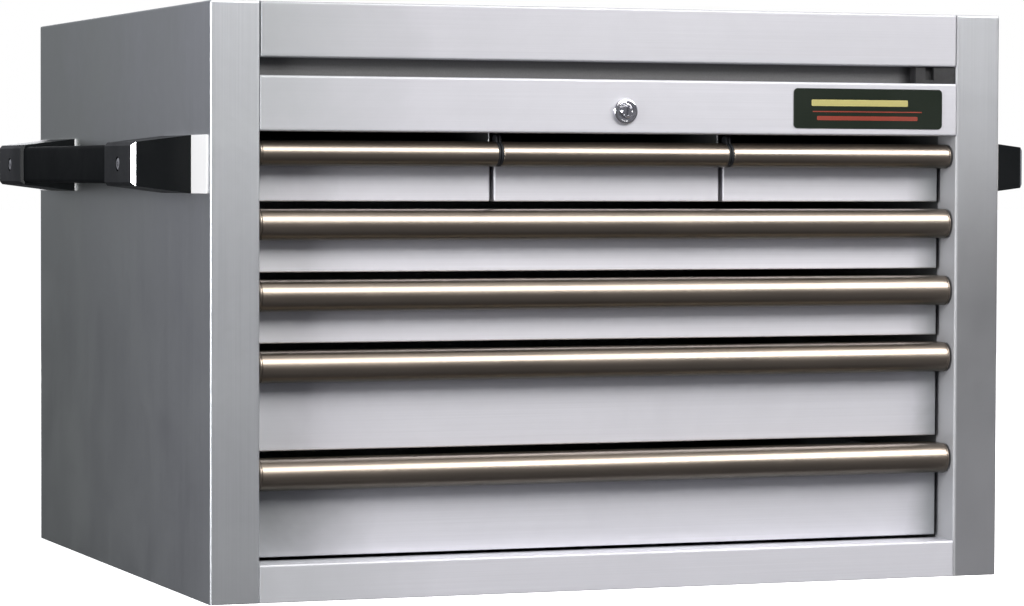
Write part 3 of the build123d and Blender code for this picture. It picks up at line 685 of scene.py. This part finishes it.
# ---------------------------------------------------------------- side handles
BRACKET_LENGTH = 89 * MM
BRACKET_TIP = 34 * MM               # height of its outer end
TIP_CHAMFER = 3.2 * MM
BRACKET_EDGE = 0.8 * MM
TURNED_OUT = 0.3                    # least slant of the bright front chamfer
BAR_CORNER = 3.2 * MM
BAR_EDGE = 0.5 * MM
BAR_EASE = 0.1 * MM                 # pocket of the bar in its brackets
SCREW_BORE = 6 * MM
SCREW_DEPTH = 2.5 * MM
PAD_THICK = 2 * MM
PAD_CORNER = 1.5 * MM
PAD_EDGE = 0.5 * MM


def bracket_shape(side, y0, y1):
    """Tapered block: tall at the wall, chamfered all round its outer face."""
    low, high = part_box(side + "_handle_brackets")
    middle = (low.z + high.z) / 2
    root_half = (high.z - low.z) / 2
    sign = SIDES[side]
    root, tip = (low.x, high.x) if sign > 0 else (high.x, low.x)
    half = BRACKET_TIP / 2
    shoulder = half + (root_half - half) * TIP_CHAMFER / abs(tip - root)
    shape = bmesh.new()
    rings = []
    for x, reach, inset in ((root, root_half, 0.0), (tip - sign * TIP_CHAMFER, shoulder, 0.0),
                            (tip, half - TIP_CHAMFER * 0.8, TIP_CHAMFER)):
        corners = [(y0 + inset, -reach), (y1 - inset, -reach), (y1 - inset, reach),
                   (y0 + inset, reach)]
        rings.append([shape.verts.new((x, y, middle + z)) for y, z in corners])
    for first, second in zip(rings, rings[1:]):
        for index in range(4):
            after = (index + 1) % 4
            shape.faces.new((first[index], first[after], second[after], second[index]))
    shape.faces.new(rings[0])
    shape.faces.new(list(reversed(rings[-1])))
    return shape


def bar_prism(side, grow):
    """Round-cornered bar from bracket to bracket, grown a little as a cutter."""
    low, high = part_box(side + "_handle_bar")
    x_mid, z_mid = (low.x + high.x) / 2, (low.z + high.z) / 2
    outline = rounded_outline((high.x - low.x) / 2 + grow, (high.z - low.z) / 2 + grow,
                              BAR_CORNER)
    shape = bmesh.new()
    prism(shape, outline, low.y, high.y, lambda u, v, run: (x_mid + u, run, z_mid + v))
    return shape


def build_handles(side):
    """Two brackets with a pocket for the bar and a bore for the screw, and the bar."""
    low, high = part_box(side + "_handle_brackets")
    sign = SIDES[side]
    tip = high.x if sign > 0 else low.x
    middle = (low.z + high.z) / 2
    for place, y0 in (("front", low.y), ("rear", high.y - BRACKET_LENGTH)):
        y1 = y0 + BRACKET_LENGTH
        bracket = finish_piece(side + "_" + place + "_handle_bracket",
                               bracket_shape(side, y0, y1), MATERIALS["handle_black"], "case",
                               [side + "_handle_brackets"],
                               bevel=BRACKET_EDGE, steps=2)
        mid = (y0 + y1) / 2
        bore = drill(SCREW_BORE, tip + sign * MM, tip - sign * SCREW_DEPTH,
                     lambda u, v, along_x: (along_x, mid + u, middle + v), 40)
        carve(bracket, [bar_prism(side, BAR_EASE), bore])
        bracket.data.materials.append(MATERIALS["bright_steel"])
        for face in bracket.data.polygons:
            slant = face.normal.x * sign > TURNED_OUT and face.normal.y < -TURNED_OUT
            at_front = face.center.y < y0 + 1.2 * TIP_CHAMFER
            if place == "front" and slant and at_front:
                face.material_index = 1
    finish_piece(side + "_grip_bar", bar_prism(side, 0.0), MATERIALS["bar_black"], "case",
                 [side + "_handle_bar"], bevel=BAR_EDGE, steps=2)


def build_backing_plates():
    """Bright pads between the brackets and the walls, with rounded corners."""
    low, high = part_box("handle_backing_plates")
    for side, sign in SIDES.items():
        bracket_low, bracket_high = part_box(side + "_handle_brackets")
        root = bracket_low.x if sign > 0 else bracket_high.x
        wall = root - sign * PAD_THICK
        spans = {"front": (low.y, bracket_low.y + BRACKET_LENGTH),
                 "rear": (bracket_high.y - BRACKET_LENGTH, high.y)}
        for place, (y0, y1) in spans.items():
            middle_y, middle_z = (y0 + y1) / 2, (low.z + high.z) / 2
            outline = rounded_outline((y1 - y0) / 2, (high.z - low.z) / 2, PAD_CORNER, 4)
            shape = bmesh.new()
            prism(shape, outline, wall, root,
                  lambda u, v, run: (run, middle_y + u, middle_z + v))
            finish_piece(side + "_" + place + "_handle_pad", shape,
                         MATERIALS["polished_plate"], "case",
                         ["handle_backing_plates"], bevel=PAD_EDGE)


build_handles("left")
build_handles("right")
build_backing_plates()


# ---------------------------------------------------------------- lock
# (radius, depth behind the front edge) in millimetres
FLANGE_PROFILE = [(10.5, 3.2), (10.5, 1.5), (10.1, 0.7), (9.3, 0.15), (8.6, 0.0),
                  (7.9, 0.15), (7.3, 0.8), (6.3, 0.9), (5.9, 0.3), (5.5, 0.3), (5.35, 0.8),
                  (5.35, 8.2)]
PLUG_PROFILE = [(0.001, 0.0), (3.4, 0.0), (3.6, 0.25), (4.0, 0.25), (4.2, 0.0), (4.7, 0.0),
                (5.25, 0.6)]
KEY_OUTLINE = [(-0.8, -3.6), (0.1, -3.6), (0.1, -1.2), (0.8, -1.2), (0.8, 3.2),
               (-0.2, 3.2), (-0.2, 0.8), (-0.8, 0.8)]
KEY_DEPTH = 6 * MM
FLANGE_DEPTH = 3.2 * MM
PANEL_THICK = 1.2 * MM
NUT_THICK = 4 * MM
NUT_CORNER = 11.7 * MM
NUT_BORE = 9.05 * MM
NUT_EDGE = 0.5 * MM
BARREL_R, BORE_R, PLUG_R = 9.0, 5.35, 5.25      # in millimetres, like the profiles


def build_lock():
    """Turned flange with a dished face, barrel, nut, and a plug with its key slot."""
    body_low, body_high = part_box("lock_body")
    plug_low, plug_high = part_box("lock_plug")
    x = (plug_low.x + plug_high.x) / 2
    z = (plug_low.z + plug_high.z) / 2
    mouth = body_low.y
    front = mouth + FLANGE_DEPTH

    def place(u, v, depth):
        return (x + u, depth, z + v)

    def turned(name, profile, start, body, node):
        shape = bmesh.new()
        lathe(shape, [(radius * MM, start + depth * MM) for radius, depth in profile], place)
        return finish_piece(name, shape, MATERIALS["lock_chrome"], body,
                            [node])

    turned("lock_flange", FLANGE_PROFILE, mouth, "case", "lock_body")
    back = (body_high.y - front) / MM
    barrel = [(BARREL_R, 0.0), (BARREL_R, back), (BORE_R, back), (BORE_R, 0.0)]
    turned("lock_barrel", barrel, front, "case", "lock_body")
    shape = bmesh.new()
    nut = [(NUT_CORNER * math.cos(math.pi * k / 3), NUT_CORNER * math.sin(math.pi * k / 3))
           for k in range(6)]
    wall = front + PANEL_THICK
    prism(shape, nut, wall, wall + NUT_THICK, place)
    nut_piece = finish_piece("lock_nut", shape, MATERIALS["bright_steel"], "case",
                             ["lock_body"], bevel=NUT_EDGE)
    carve(nut_piece, [drill(NUT_BORE, wall - MM, wall + NUT_THICK + MM, place)])
    length = (plug_high.y - plug_low.y) / MM
    plug = PLUG_PROFILE + [(PLUG_R, length), (0.001, length)]
    plug_piece = turned("lock_plug_face", plug, plug_low.y, "lock_cylinder", "lock_plug")
    slot = bmesh.new()
    prism(slot, [(u * MM, v * MM) for u, v in KEY_OUTLINE], plug_low.y - MM,
          plug_low.y + KEY_DEPTH, place)
    carve(plug_piece, [slot])


build_lock()


# ---------------------------------------------------------------- label plate
# (name, finish, middle across and up, half width and half height) in millimetres
LABEL_MARKS = [("gold_bar", "label_gold", -8, 4.6, 44, 2.6),
               ("red_line", "label_red", -1, -2.6, 50, 0.4),
               ("red_bar", "label_red", -1, -8.0, 46, 1.7)]
LABEL_CORNER = 3.5 * MM
MARK_PROUD = 0.15 * MM
MARK_SUNK = 0.1 * MM
LABEL_EDGE = 0.3 * MM


def build_label():
    """Dark enamel plate with a gold bar, a thin red line and a red bar."""
    low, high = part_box("label_plate")
    x, z = (low.x + high.x) / 2, (low.z + high.z) / 2
    half_x, half_z = (high.x - low.x) / 2, (high.z - low.z) / 2
    shape = bmesh.new()
    prism(shape, rounded_outline(half_x, half_z, LABEL_CORNER), low.y, high.y,
          lambda u, v, run: (x + u, run, z + v))
    finish_piece("label", shape, MATERIALS["label_enamel"], "case",
                 ["label_plate"], bevel=LABEL_EDGE)
    for name, finish, u0, v0, half_u, half_v in LABEL_MARKS:
        shape = bmesh.new()
        outline = rounded_outline(half_u * MM, half_v * MM, min(half_v, 1.0) * 0.9 * MM)
        prism(shape, [(u + u0 * MM, v + v0 * MM) for u, v in outline],
              low.y - MARK_PROUD, low.y + MARK_SUNK, lambda u, v, run: (x + u, run, z + v))
        finish_piece("label_" + name, shape, MATERIALS[finish], "case")


build_label()


# ---------------------------------------------------------------- liners
LINER = 1.6 * MM                    # thickness, with ribs across it
RIB_PITCH = 8 * MM
RIB_HEIGHT = 0.5 * MM
LARGE_SIDE = 15.5 * MM              # drawer's outside to its mat: sides, front, back, floor
SMALL_SIDE = 13.0 * MM
MAT_FRONT = 16 * MM
MAT_BACK = 3 * MM
MAT_LIFT = 5.25 * MM
TRAY_EDGE = 4 * MM                  # tray floor's outside to its mat: edges, front, floor
TRAY_FRONT = 36 * MM
TRAY_LIFT = 1.25 * MM


def ribbed_mat(name, body, x0, x1, y0, y1, floor):
    """Mat with shallow ribs running across it."""
    count = max(4, int((y1 - y0) / RIB_PITCH))
    step = (y1 - y0) / count
    top = floor + LINER
    outline = [(y1, floor), (y0, floor)]
    for index in range(count):
        start = y0 + index * step
        outline += [(start + 0.1 * step, top - RIB_HEIGHT), (start + 0.25 * step, top),
                    (start + 0.75 * step, top), (start + 0.9 * step, top - RIB_HEIGHT)]
    shape = bmesh.new()
    prism(shape, outline, x0, x1, lambda y, z, run: (run, y, z))
    finish_piece(name, shape, MATERIALS["liner_foam"], body)


def build_liners():
    """A mat in every drawer and one in the tray under the lid."""
    for drawer in DRAWERS:
        low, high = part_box(drawer + "_box")
        side = LARGE_SIDE if drawer in LARGE else SMALL_SIDE
        ribbed_mat(drawer + "_liner", drawer, low.x + side, high.x - side,
                   low.y + MAT_FRONT, high.y - MAT_BACK, low.z + MAT_LIFT)
    low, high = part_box("tray_floor")
    ribbed_mat("tray_liner", "case", low.x + TRAY_EDGE, high.x - TRAY_EDGE,
               low.y + TRAY_FRONT, high.y - TRAY_EDGE, low.z + TRAY_LIFT)


build_liners()


# ---------------------------------------------------------------- stage
def emitter(name, size_x, size_y, power, at, towards, colour):
    """Soft rectangular studio light aimed at a point."""
    light = bpy.data.lights.new(name, "AREA")
    light.shape = "RECTANGLE"
    light.size = size_x
    light.size_y = size_y
    light.energy = power
    light.color = colour
    lamp = bpy.data.objects.new(name, light)
    bpy.context.scene.collection.objects.link(lamp)
    lamp.location = at
    lamp.rotation_euler = (Vector(towards) - Vector(at)).to_track_quat("-Z", "Y").to_euler()
    lamp.visible_camera = False


WARM, NEUTRAL, COOL = (1.0, 0.985, 0.965), (1, 1, 1), (0.97, 0.98, 1.0)
WORLD_COLOUR = (0.80, 0.81, 0.88, 1)
WORLD_FRONT, WORLD_BACK = 0.22, 0.40


def softboxes():
    """Key and fill from the upper right front, one each from the left, top and back."""
    middle = (cad_box[0].z + cad_box[1].z) / 2
    front = cad_box[0].y
    emitter("front_softbox", 2.4, 1.4, 112, (1.9, front - 1.95, middle + 1.85),
            (0.3, front, middle), WARM)
    emitter("front_fill_box", 1.4, 1.5, 40, (0.0, front - 2.05, middle + 1.85),
            (0.1, front, middle), WARM)
    emitter("left_softbox", 0.9, 1.2, 92, (-3.0, front - 1.0, middle + 0.3),
            (cad_box[0].x, front, middle), NEUTRAL)
    emitter("top_soft", 2.5, 2.5, 18, (0, 0.4, 2.6), (0, 0, 0.4), NEUTRAL)
    emitter("rear_fill_box", 2.6, 1.8, 42, (1.3, 3.2, middle + 0.9),
            (0.2, -front, middle), COOL)


def surroundings():
    """White where it is seen; a dim room, brighter behind, where it lights the metal."""
    world = bpy.data.worlds.new("studio_world")
    bpy.context.scene.world = world
    world.use_nodes = True
    tree = world.node_tree
    tree.nodes.clear()
    out = tree.nodes.new("ShaderNodeOutputWorld")
    seen = add(tree, "ShaderNodeBackground", Color=(1, 1, 1, 1), Strength=1.0)
    lit = add(tree, "ShaderNodeBackground", Color=WORLD_COLOUR)
    ray = tree.nodes.new("ShaderNodeLightPath")
    mix = tree.nodes.new("ShaderNodeMixShader")
    front_to_back = spread(tree, along(tree, "Generated", "Y"), -0.5, 0.5, WORLD_FRONT,
                           WORLD_BACK)
    wire(tree, front_to_back, lit.inputs["Strength"])
    wire(tree, ray.outputs["Is Camera Ray"], mix.inputs[0])
    wire(tree, lit.outputs[0], mix.inputs[1])
    wire(tree, seen.outputs[0], mix.inputs[2])
    wire(tree, mix.outputs[0], out.inputs[0])


FLOOR_HALF = 30.0


def floor():
    """Plain pale floor; it looks darker in reflections so the metal keeps its depth."""
    shape = bmesh.new()
    bmesh.ops.create_grid(shape, x_segments=1, y_segments=1, size=FLOOR_HALF)
    data = bpy.data.meshes.new("studio_floor")
    shape.to_mesh(data)
    shape.free()
    ground = bpy.data.objects.new("studio_floor", data)
    bpy.context.scene.collection.objects.link(ground)
    made, tree, shader = material("pale_floor")
    shader.inputs["Roughness"].default_value = 0.9
    shader.inputs["Specular IOR Level"].default_value = 0.1
    seen = tree.nodes.new("ShaderNodeLightPath").outputs["Is Camera Ray"]
    wire(tree, blend_colour(tree, seen, (0.07, 0.07, 0.075), (0.95, 0.95, 0.95)),
         shader.inputs["Base Color"])
    wire(tree, blend_colour(tree, seen, (0.0, 0.0, 0.0), (1.0, 1.0, 1.0)),
         shader.inputs["Emission Color"])
    shader.inputs["Emission Strength"].default_value = 0.8
    data.materials.append(made)


CAMERA_AT = (-1.1294, -3.0326, 0.3349)
CAMERA_LENS = 129.45
TURN, TILT, ROLL = (math.radians(angle) for angle in (20.631, 1.983, 0.184))


def camera():
    """Long lens a little above the middle of the chest, off its left front corner."""
    data = bpy.data.cameras.new("camera")
    data.sensor_width = 36.0
    data.lens = CAMERA_LENS
    data.clip_end = 60.0
    eye = bpy.data.objects.new("camera", data)
    bpy.context.scene.collection.objects.link(eye)
    aim = Matrix.Rotation(-TURN, 4, "Z") @ Matrix.Rotation(math.pi / 2 - TILT, 4, "X")
    eye.matrix_world = Matrix.Translation(CAMERA_AT) @ aim @ Matrix.Rotation(ROLL, 4, "Z")
    bpy.context.scene.camera = eye


softboxes()
surroundings()
floor()
camera()
bpy.context.scene.view_settings.view_transform = "Standard"
bpy.context.scene.view_settings.look = "None"
